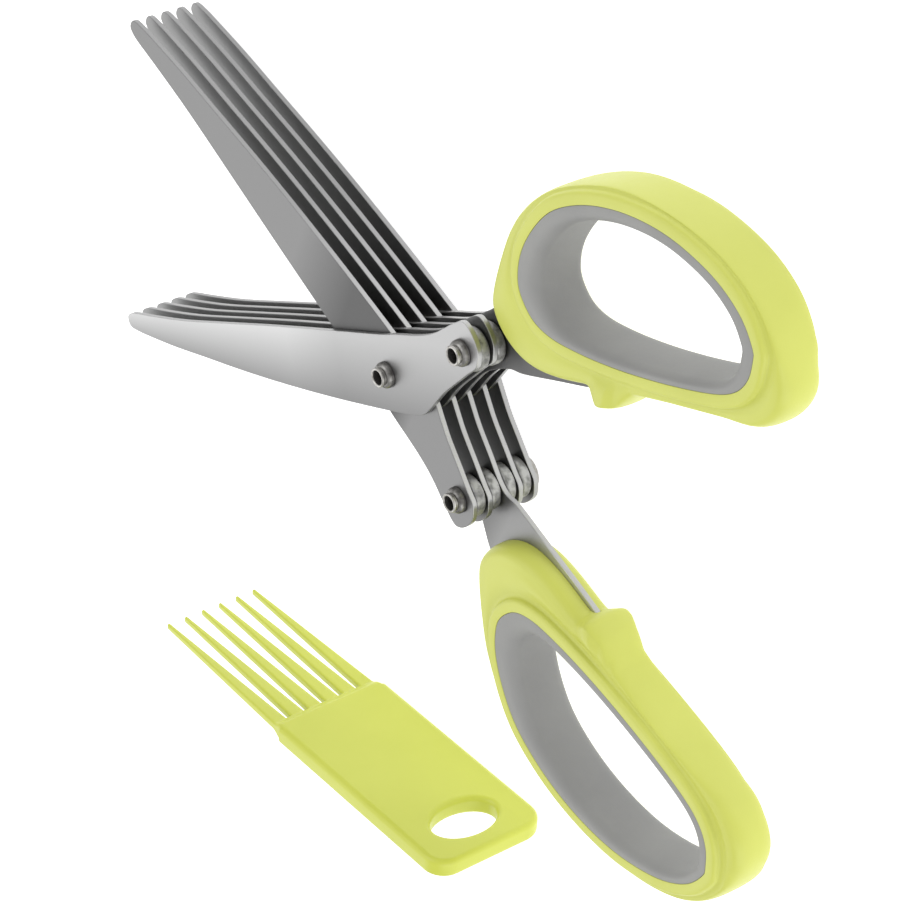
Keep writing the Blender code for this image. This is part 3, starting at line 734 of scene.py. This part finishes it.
def shell_section(loop_reach, rim_reach, widest, narrowest, lift):
    """Upper half of the shell's section, from the widest point in to the seat of the liner."""
    body = SHELL_THICKNESS / 2
    rim = body + RIM_HEIGHT
    fillet_run = min(RIM_FILLET_RUN, (widest - rim_reach) / 2)
    valley = rim_reach + fillet_run
    foot = max(narrowest, valley + RIM_FOOT)
    crown = CROWN_HEIGHT * min(1.0, (foot - valley) / CROWN_RUN)
    section = []
    for k in range(SIDE_STEPS + 1):
        turn = pi / 2 * k / SIDE_STEPS
        section.append((foot + (widest - foot) * cos(turn) ** SHELL_SIDE_POWER,
                        (body + lift) * sin(turn) ** SHELL_SIDE_POWER))
    for k in range(1, CROWN_STEPS + 1):
        share = k / CROWN_STEPS
        height = body + crown * sin(pi * share) + lift * (1 - share ** RIDGE_FALL_POWER)
        section.append((foot + (valley - foot) * share, height))
    for k in range(1, ROUND_STEPS + 1):
        turn = pi / 2 * k / ROUND_STEPS
        section.append((valley - fillet_run * sin(turn), body + RIM_FILLET * (1 - cos(turn))))
    section += arc((rim_reach - RIM_ROUND, rim - RIM_ROUND), RIM_ROUND, 0, pi / 2, ROUND_STEPS)
    seat = loop_reach + LINER_GAP
    section += arc((seat + SEAT_ROUND, rim - SEAT_ROUND), SEAT_ROUND, pi / 2, pi, FINE_STEPS)
    return section


def make_shell(half, plastic):
    """The moulded shell round a finger loop: a crowned face, a raised rim and a bump stop."""
    centre = loop_centre(half)
    outline = shell_outline(half)
    inset = grown(outline, -SIDE_DEPTH)
    bump_inset = grown(outline, -BUMP_ROUND)
    loop = loop_outline(half.loop)
    rim = grown(loop, LINER_GAP + RIM_WIDTH)
    rings = []
    for point, ray in zip(outline, directions(half)):
        widest = hypot(point[0] - centre[0], point[1] - centre[1])
        bump_share = min(1.0, max(0.0, half.shell.inner - point[0]) / half.bump_height)
        narrowest = reach(inset, centre, ray) * (1 - bump_share)
        narrowest += reach(bump_inset, centre, ray) * bump_share
        lift = BUMP_RIDGE * bump_share * bump_lift(half, point[1])
        section = shell_section(reach(loop, centre, ray), reach(rim, centre, ray), widest,
                                narrowest, lift)
        rings.append(section_ring(centre, ray, there_and_back(section), HANDLE_MIDDLE))
    verts, faces = ring_solid(rings)
    shell = add_piece(f"moulded_handle_{half.letter}", verts, faces, f"half_{half.letter}",
                      f"handle_shell_{half.letter}", plastic, half)
    cut_slot(shell, half)


def cut_slot(shell, half):
    """Cuts the slot that the tang lies in, open at the front and on the inner side to the bump."""
    stop = -half.shell.front - SLOT_STOP_SHARE * half.shell.length
    mouth = CUT_OVERRUN - half.shell.front
    inner = half.shell.inner - TANG_PROUD - SLOT_CLEARANCE
    tang = grown(smooth_loop(blade_tail(half, True)), SLOT_CLEARANCE)
    pocket = [p for p in tang if p[1] < stop or (p[1] < mouth and p[0] > half.shell.inner)]
    outline = [(inner, stop)] + pocket + [(pocket[-1][0], mouth)]
    outline += [(inner - CUT_OVERRUN, mouth), (inner - CUT_OVERRUN, stop)]
    low = blade_floor(half, TANG_BLADE) - SLOT_CLEARANCE
    high = low + BLADE_THICKNESS + 2 * SLOT_CLEARANCE
    outline = turned_left(outline)
    flat_edges = [[0] * len(outline)]
    verts, faces = rounded_plate([outline], low, high, flat_edges, height=0, steps=1)
    verts, faces = half.place_solid(verts, faces)
    mesh = bpy.data.meshes.new("slot_cutter")
    mesh.from_pydata(verts, [], faces)
    cutter = add_object("slot_cutter", mesh)
    cut = shell.modifiers.new("tang_slot", "BOOLEAN")
    cut.operation = "DIFFERENCE"
    cut.solver = "EXACT"
    cut.object = cutter
    bpy.context.view_layer.update()
    whole = shell.evaluated_get(bpy.context.evaluated_depsgraph_get())
    hollowed = bpy.data.meshes.new_from_object(whole)
    shell.modifiers.remove(cut)
    shell.data = hollowed
    hollowed.set_sharp_from_angle(angle=radians(PIECE_SHARP_ANGLE))
    bpy.data.objects.remove(cutter, do_unlink=True)


def make_liner(half, grip):
    """The soft ring that lines a finger loop, level with the rim of its shell."""
    centre = loop_centre(half)
    outer = loop_outline(half.loop)
    inner = loop_outline(half.hole)
    top = SHELL_THICKNESS / 2 + RIM_HEIGHT
    turns = [pi / 2 * k / LINER_STEPS for k in range(LINER_STEPS + 1)]
    rings = []
    for ray in directions(half):
        out = reach(outer, centre, ray) + LINER_GAP - LINER_SEAM
        hole = reach(inner, centre, ray)
        lip = LINER_ROUND_SHARE * (out - hole)
        section = arc((out - LINER_EDGE, top - LINER_EDGE), LINER_EDGE, 0, pi / 2, FINE_STEPS)
        section += [
            (hole + lip * (1 - sin(turn)), top - LINER_ROUND_DEPTH * (1 - cos(turn)))
            for turn in turns
        ]
        rings.append(section_ring(centre, ray, there_and_back(section), HANDLE_MIDDLE))
    verts, faces = ring_solid(rings)
    add_piece(f"soft_liner_{half.letter}", verts, faces, f"half_{half.letter}",
              f"grip_liner_{half.letter}", grip, half)


def comb_outline():
    """Tines towards x = 0, the plate's end at the comb's length, the width along y."""
    first = (COMB_WIDTH - (COMB_TINES - 1) * COMB_TINE_PITCH) / 2
    margin = first - COMB_TINE_ROOT / 2
    shoulder = COMB_TINE_LENGTH + COMB_SHOULDER
    points = [(shoulder + margin / 2, 0), (shoulder, margin / 2)]
    for tine in range(COMB_TINES):
        middle = first + tine * COMB_TINE_PITCH
        points.append((COMB_TINE_LENGTH, middle - COMB_TINE_ROOT / 2))
        points += arc((COMB_TINE_TIP / 2, middle), COMB_TINE_TIP / 2, -pi / 2, -3 * pi / 2)
        points.append((COMB_TINE_LENGTH, middle + COMB_TINE_ROOT / 2))
    points += [(shoulder, COMB_WIDTH - margin / 2), (shoulder + margin / 2, COMB_WIDTH)]
    end = COMB_LENGTH - COMB_CORNER
    points += arc((end, COMB_WIDTH - COMB_CORNER), COMB_CORNER, pi / 2, 0)
    points += arc((end, COMB_CORNER), COMB_CORNER, 0, -pi / 2)
    return turned_left(points)


def comb_hole():
    """An oval hole across the plate, near its end, with the plate on its left."""
    middle = (COMB_LENGTH - COMB_HOLE_BACK, COMB_WIDTH / 2)
    return [
        (middle[0] + x * COMB_HOLE_WIDTH / 2, middle[1] - y * COMB_HOLE_LENGTH / 2)
        for x, y in circle((0, 0), 1)
    ]


def comb_share(x):
    """The comb's thickness at a place along it, as a share of the plate's."""
    if x < COMB_TINE_LENGTH:
        taper = (COMB_ROOT_THICKNESS - COMB_TIP_THICKNESS) * x / COMB_TINE_LENGTH
        thickness = COMB_TIP_THICKNESS + taper
    else:
        share = min(1.0, (x - COMB_TINE_LENGTH) / COMB_SHOULDER)
        share = share * share * (3 - 2 * share)
        thickness = COMB_ROOT_THICKNESS + (COMB_THICKNESS - COMB_ROOT_THICKNESS) * share
    return thickness / COMB_THICKNESS


def split_at_roots(verts, faces):
    """Splits the comb's faces in steps along the slope at the roots of the tines."""
    shape = bmesh.new()
    made = [shape.verts.new(vert) for vert in verts]
    for face in faces:
        shape.faces.new([made[index] for index in face])
    for step in range(SLOPE_STEPS + 1):
        place = COMB_TINE_LENGTH + COMB_SHOULDER * step / SLOPE_STEPS
        everything = shape.verts[:] + shape.edges[:] + shape.faces[:]
        bmesh.ops.bisect_plane(shape, geom=everything, plane_co=(place, 0, 0), plane_no=(1, 0, 0))
    shape.verts.index_update()
    points = [tuple(vert.co) for vert in shape.verts]
    pieces = [[vert.index for vert in face.verts] for face in shape.faces]
    shape.free()
    return points, pieces


def make_comb(plastic):
    """The comb is drawn lying down, thinned towards its tips and stood on its long edge."""
    loops = [comb_outline(), comb_hole()]
    rounds = [[COMB_EDGE_ROUND * comb_share(x) for x, y in loop] for loop in loops]
    verts, faces = rounded_plate(loops, 0.0, COMB_THICKNESS, rounds, COMB_EDGE_ROUND)
    verts, faces = split_at_roots(verts, faces)
    middle = COMB_THICKNESS / 2
    verts = [(x, y, middle + (z - middle) * comb_share(x)) for x, y, z in verts]
    turn = COMB_YAW - pi / 2
    c, s = cos(turn), sin(turn)
    placed = [(COMB_TIPS_X + c * x + s * z, COMB_TIPS_Y + s * x - c * z, y) for x, y, z in verts]
    comb = add_piece("rounded_comb", placed, faces, "cleaning_comb", "cleaning_comb",
                     plastic, angle=COMB_SHARP_ANGLE)
    keep_flats_flat(comb)


def make_half(half, steels, finishes, plastic, grip):
    """The blades of a half with their rear rivet and spacers, and its handle."""
    body = f"half_{half.letter}"
    for number in range(1, BLADES_PER_HALF + 1):
        make_blade(half, number, steels["top"] if number == 1 else steels["inner"], steels["edge"])
    for number in range(1, BLADES_PER_HALF):
        make_spacer(f"rear_spacer_{half.letter}{number}", REAR_RIVET, REAR_SPACER_RADIUS,
                    spacer_floor(half, number), REAR_SPACER_THICKNESS, REAR_SPACER_ROUND, body,
                    finishes["satin"], half)
    head_top = blade_floor(half, BLADES_PER_HALF) - RUNNING_GAP
    blade_top = blade_floor(half, 1) + BLADE_THICKNESS
    make_rivet(f"rear_rivet_{half.letter}", REAR_RIVET, head_top, REAR_HEAD_RADIUS, blade_top,
               body, finishes, half)
    make_shell(half, plastic)
    make_liner(half, grip)


def make_pivot(finishes):
    """The rivet that both halves turn on, and its spacers. They ride on half a."""
    make_rivet("pivot_rivet", PIVOT, RIVET_HEAD_THICKNESS, PIVOT_HEAD_RADIUS, STACK_TOP, "half_a",
               finishes, HALF_A)
    for number in range(1, BLADES_PER_HALF):
        make_spacer(f"pivot_spacer_{number}", PIVOT, PIVOT_SPACER_RADIUS,
                    spacer_floor(HALF_A, number), PIVOT_SPACER_THICKNESS, PIVOT_SPACER_ROUND,
                    "half_a", finishes["satin"], HALF_A)


class Surface:
    """A material and the few node patterns that the finishes are made from."""

    def __init__(self, name, roughness, metallic=0.0):
        self.material = bpy.data.materials.new(name)
        self.material.use_nodes = True
        self.tree = self.material.node_tree
        self.shader = self.tree.nodes["Principled BSDF"]
        self.shader.inputs["Roughness"].default_value = roughness
        self.shader.inputs["Metallic"].default_value = metallic

    def link(self, start, end):
        self.tree.links.new(start, end)

    def noise(self, scale, stretch=(1.0, 1.0, 1.0), detail=NOISE_DETAIL, source="Object"):
        """A noise whose scale is in cycles to the metre, or to the millimetre on a plan."""
        place = self.tree.nodes.new("ShaderNodeTexCoord")
        mapping = self.tree.nodes.new("ShaderNodeMapping")
        mapping.inputs["Scale"].default_value = stretch
        noise = self.tree.nodes.new("ShaderNodeTexNoise")
        noise.inputs["Scale"].default_value = scale
        noise.inputs["Detail"].default_value = detail
        self.link(place.outputs[source], mapping.inputs["Vector"])
        self.link(mapping.outputs["Vector"], noise.inputs["Vector"])
        return noise.outputs["Fac"]

    def ramp(self, value, stops):
        """Two colours at their places along a value."""
        ramp = self.tree.nodes.new("ShaderNodeValToRGB")
        for element, (place, colour) in zip(ramp.color_ramp.elements, stops):
            element.position = place
            element.color = (*colour, 1.0)
        self.link(value, ramp.inputs["Fac"])
        return ramp.outputs["Color"]

    def spread(self, value, start, end, low, high):
        """A value that runs from low at start to high at end and stays there."""
        spread = self.tree.nodes.new("ShaderNodeMapRange")
        spread.inputs["From Min"].default_value = start
        spread.inputs["From Max"].default_value = end
        spread.inputs["To Min"].default_value = low
        spread.inputs["To Max"].default_value = high
        self.link(value, spread.inputs["Value"])
        return spread.outputs["Result"]

    def math(self, operation, *values):
        """A math node on numbers and on other nodes' values."""
        node = self.tree.nodes.new("ShaderNodeMath")
        node.operation = operation
        for socket, value in zip(node.inputs, values):
            if isinstance(value, (int, float)):
                socket.default_value = value
            else:
                self.link(value, socket)
        return node.outputs["Value"]

    def plan(self):
        """The places across and along a piece's own frame, in millimetres."""
        place = self.tree.nodes.new("ShaderNodeTexCoord")
        parts = self.tree.nodes.new("ShaderNodeSeparateXYZ")
        self.link(place.outputs["UV"], parts.inputs["Vector"])
        return parts.outputs["X"], parts.outputs["Y"]

    def grey(self, value):
        """A grey of this value."""
        colour = self.tree.nodes.new("ShaderNodeCombineColor")
        for channel in ("Red", "Green", "Blue"):
            self.link(value, colour.inputs[channel])
        return colour.outputs["Color"]

    def colour(self, value):
        self.link(value, self.shader.inputs["Base Color"])

    def roughness(self, value):
        self.link(value, self.shader.inputs["Roughness"])

    def bump(self, value, depth, strength):
        bump = self.tree.nodes.new("ShaderNodeBump")
        bump.inputs["Strength"].default_value = strength
        bump.inputs["Distance"].default_value = depth
        self.link(value, bump.inputs["Height"])
        self.link(bump.outputs["Normal"], self.shader.inputs["Normal"])


def finish_blade_steel(steel, tone, line_tone, rougher):
    """Gives blade steel its tone, and fine ground lines in its tone, roughness and bump."""
    lines = steel.noise(LINE_SCALE, LINE_STRETCH, LINE_DETAIL, "UV")
    streaks = steel.spread(lines, 0.0, 1.0, 1.0 - line_tone, 1.0 + line_tone)
    steel.colour(steel.grey(steel.math("MULTIPLY", tone, streaks)))
    steel.roughness(steel.spread(lines, 0.0, 1.0, BLADE_ROUGHNESS - LINE_SMOOTHER,
                                 BLADE_ROUGHNESS + rougher))
    steel.bump(lines, LINE_DEPTH, LINE_STRENGTH)
    return steel.material


def make_blade_steel(name, spine, edge, root_share, rear_share):
    """Satin steel with a painted highlight that runs across the blade from its spine's tone to its
    edge's.
    Painted shade lowers its tone at the blade's root, with a share of its own behind the pivot."""
    steel = Surface(name, BLADE_ROUGHNESS, metallic=1.0)
    across, along = steel.plan()
    half_width = steel.math("MULTIPLY_ADD", along, -BLADE_TAPER, BLADE_HALF_WIDTH)
    aside = steel.math("ADD", across, BLADE_MIDDLE_ASIDE)
    # ground is the share across the blade, spine to cutting edge, that the painted highlight is
    # spread over
    ground = steel.math("DIVIDE", aside, half_width)
    tone = steel.spread(ground, -1.0, 1.0, spine, edge)
    # Painted shade towards the blade's root, lifted again behind the pivot by the rear share
    root = steel.spread(along, ROOT_SHADE_FROM, ROOT_SHADE_TO, root_share, 1.0)
    rear = steel.spread(along, REAR_SHADE_FROM, REAR_SHADE_TO, rear_share, root_share)
    tone = steel.math("MULTIPLY", tone, steel.math("MAXIMUM", root, rear))
    return finish_blade_steel(steel, tone, TOP_LINE_TONE, TOP_LINE_ROUGHER)


def make_plain_steel(name, root, tip, tang, strip):
    """Satin steel with painted light and shade, whose tone runs from its root's to its tip's. The
    tang has a painted tone of its own, and so has the strip of it that shows in the handle's slot."""
    steel = Surface(name, BLADE_ROUGHNESS, metallic=1.0)
    along = steel.plan()[1]
    front = steel.spread(along, INNER_TONE_FROM, INNER_TONE_TO, root, tip)
    back = steel.spread(along, TANG_TONE_FROM, TANG_TONE_TO, tang - root, 0.0)
    slot = steel.spread(along, STRIP_TONE_FROM, STRIP_TONE_TO, strip - tang, 0.0)
    tone = steel.math("ADD", steel.math("ADD", front, back), slot)
    return finish_blade_steel(steel, tone, INNER_LINE_TONE, INNER_LINE_ROUGHER)


def make_rivet_steel(name, dark, bright, smooth, rough):
    """Rivet steel with soft blotches left by the press."""
    steel = Surface(name, rough, metallic=1.0)
    patches = steel.noise(PATCH_SCALE, detail=PLAIN_NOISE_DETAIL)
    steel.colour(steel.ramp(patches, [(PATCH_DARK_AT, dark), (PATCH_BRIGHT_AT, bright)]))
    steel.roughness(steel.spread(patches, PATCH_ROUGH_FROM, PATCH_ROUGH_TO, rough, smooth))
    steel.bump(patches, PATCH_DEPTH, PATCH_STRENGTH)
    return steel.material


def make_plastic(name, low, high, roughness, grain):
    """Moulded plastic with a fine spark grain and faint clouds in its colour."""
    plastic = Surface(name, roughness)
    clouds = plastic.noise(CLOUD_SCALE)
    plastic.colour(plastic.ramp(clouds, [(CLOUD_LOW_AT, low), (CLOUD_HIGH_AT, high)]))
    gloss = plastic.noise(GLOSS_SCALE)
    plastic.roughness(plastic.spread(gloss, 0.0, 1.0, roughness - GLOSS_SMOOTHER,
                                     roughness + GLOSS_ROUGHER))
    plastic.bump(plastic.noise(GRAIN_SCALE, detail=PLAIN_NOISE_DETAIL), grain, GRAIN_STRENGTH)
    return plastic.material


def add_light(name, place, target, size, power):
    """A large soft square light that faces its target."""
    lamp = bpy.data.lights.new(name, "AREA")
    lamp.shape = "SQUARE"
    lamp.size = size
    lamp.energy = power
    light = add_object(name, lamp)
    light.location = place
    light.rotation_euler = (Vector(target) - Vector(place)).to_track_quat("-Z", "Y").to_euler()


def make_stage():
    """A pale floor and soft light all round."""
    corners = [(x * FLOOR_HALF, y * FLOOR_HALF, 0) for x, y in ((-1, -1), (1, -1), (1, 1), (-1, 1))]
    mesh = bpy.data.meshes.new("floor")
    mesh.from_pydata(corners, [], [(0, 1, 2, 3)])
    pale = Surface("pale_floor", FLOOR_ROUGHNESS)
    pale.shader.inputs["Base Color"].default_value = FLOOR_COLOUR
    pale.shader.inputs["Emission Color"].default_value = WHITE
    pale.shader.inputs["Emission Strength"].default_value = FLOOR_GLOW
    mesh.materials.append(pale.material)
    floor = add_object("floor", mesh)
    floor.location = (0.0, 0.0, -FLOOR_DROP)
    world = bpy.data.worlds.new("soft_room")
    world.use_nodes = True
    background = world.node_tree.nodes["Background"]
    background.inputs["Color"].default_value = WHITE
    background.inputs["Strength"].default_value = ROOM_LIGHT
    bpy.context.scene.world = world
    for light in LIGHTS:
        add_light(*light)
    bpy.context.scene.view_settings.view_transform = "Standard"


def make_camera():
    """The camera at the photograph's angle."""
    right = Vector(CAMERA_RIGHT).normalized()
    back = right.cross(Vector(CAMERA_UP)).normalized()
    up = back.cross(right)
    lens = bpy.data.cameras.new("camera")
    lens.lens = CAMERA_LENS
    lens.sensor_width = CAMERA_SENSOR
    lens.clip_start = CAMERA_CLIP
    camera = add_object("camera", lens)
    turn = Matrix((right, up, back)).transposed().to_4x4()
    camera.matrix_world = Matrix.Translation(CAMERA_PLACE) @ turn
    bpy.context.scene.camera = camera


# Top blade of half a: a painted highlight, lighter towards the cutting edge, and painted shade at
# its root
highlit_top_blade_steel = make_blade_steel(
    "painted_highlight_top_blade_steel", spine=0.235, edge=0.50, root_share=0.80, rear_share=0.80)
# Top blade of half b: painted shadow at its root, where the top blade of half a lies over it
shaded_steel = make_blade_steel(
    "painted_shadow_top_blade_steel", spine=0.21, edge=0.21, root_share=0.45, rear_share=1.0)
# Side faces of the blades: painted light, lighter near the root and darker towards the tips
edge_light_steel = make_plain_steel(
    "painted_light_edge_steel", root=0.42, tip=0.27, tang=0.40, strip=0.40)
# Inner blades: painted shade between the stacked blades, darkest at the root; half b's tang is
# lighter and the strip in its slot has a painted highlight
inner_steel_a = make_plain_steel(
    "inner_blade_steel_a", root=0.17, tip=0.26, tang=0.12, strip=0.12)
inner_steel_b = make_plain_steel(
    "inner_blade_steel_b", root=0.17, tip=0.26, tang=0.25, strip=0.60)
rivet_finishes = {
    "bright": make_rivet_steel(
        "bright_rivet_steel", dark=(0.32, 0.31, 0.29), bright=(0.48, 0.47, 0.45),
        smooth=0.34, rough=0.46),
    # Dark steel for the collars, and painted shade in the bores
    "dark": make_rivet_steel(
        "dark_rivet_steel", dark=(0.13, 0.125, 0.12), bright=(0.27, 0.265, 0.255),
        smooth=0.36, rough=0.50),
    "satin": make_rivet_steel(
        "satin_spacer_steel", dark=(0.23, 0.23, 0.226), bright=(0.44, 0.44, 0.435),
        smooth=0.55, rough=0.70),
}
handle_lime = make_plastic(
    "lime_handle_plastic", low=(0.52, 0.55, 0.095), high=(0.555, 0.585, 0.11),
    roughness=0.42, grain=0.03 * MM)
comb_lime = make_plastic(
    "lime_comb_plastic", low=(0.52, 0.56, 0.062), high=(0.55, 0.59, 0.075),
    roughness=0.36, grain=0.02 * MM)
soft_grey = make_plastic(
    "soft_grey_grip", low=(0.25, 0.25, 0.245), high=(0.29, 0.29, 0.28),
    roughness=0.62, grain=0.04 * MM)
steels_a = {"top": highlit_top_blade_steel, "inner": inner_steel_a, "edge": edge_light_steel}
steels_b = {"top": shaded_steel, "inner": inner_steel_b, "edge": edge_light_steel}
make_half(HALF_A, steels_a, rivet_finishes, handle_lime, soft_grey)
make_half(HALF_B, steels_b, rivet_finishes, handle_lime, soft_grey)
make_pivot(rivet_finishes)
make_comb(comb_lime)
make_stage()
make_camera()
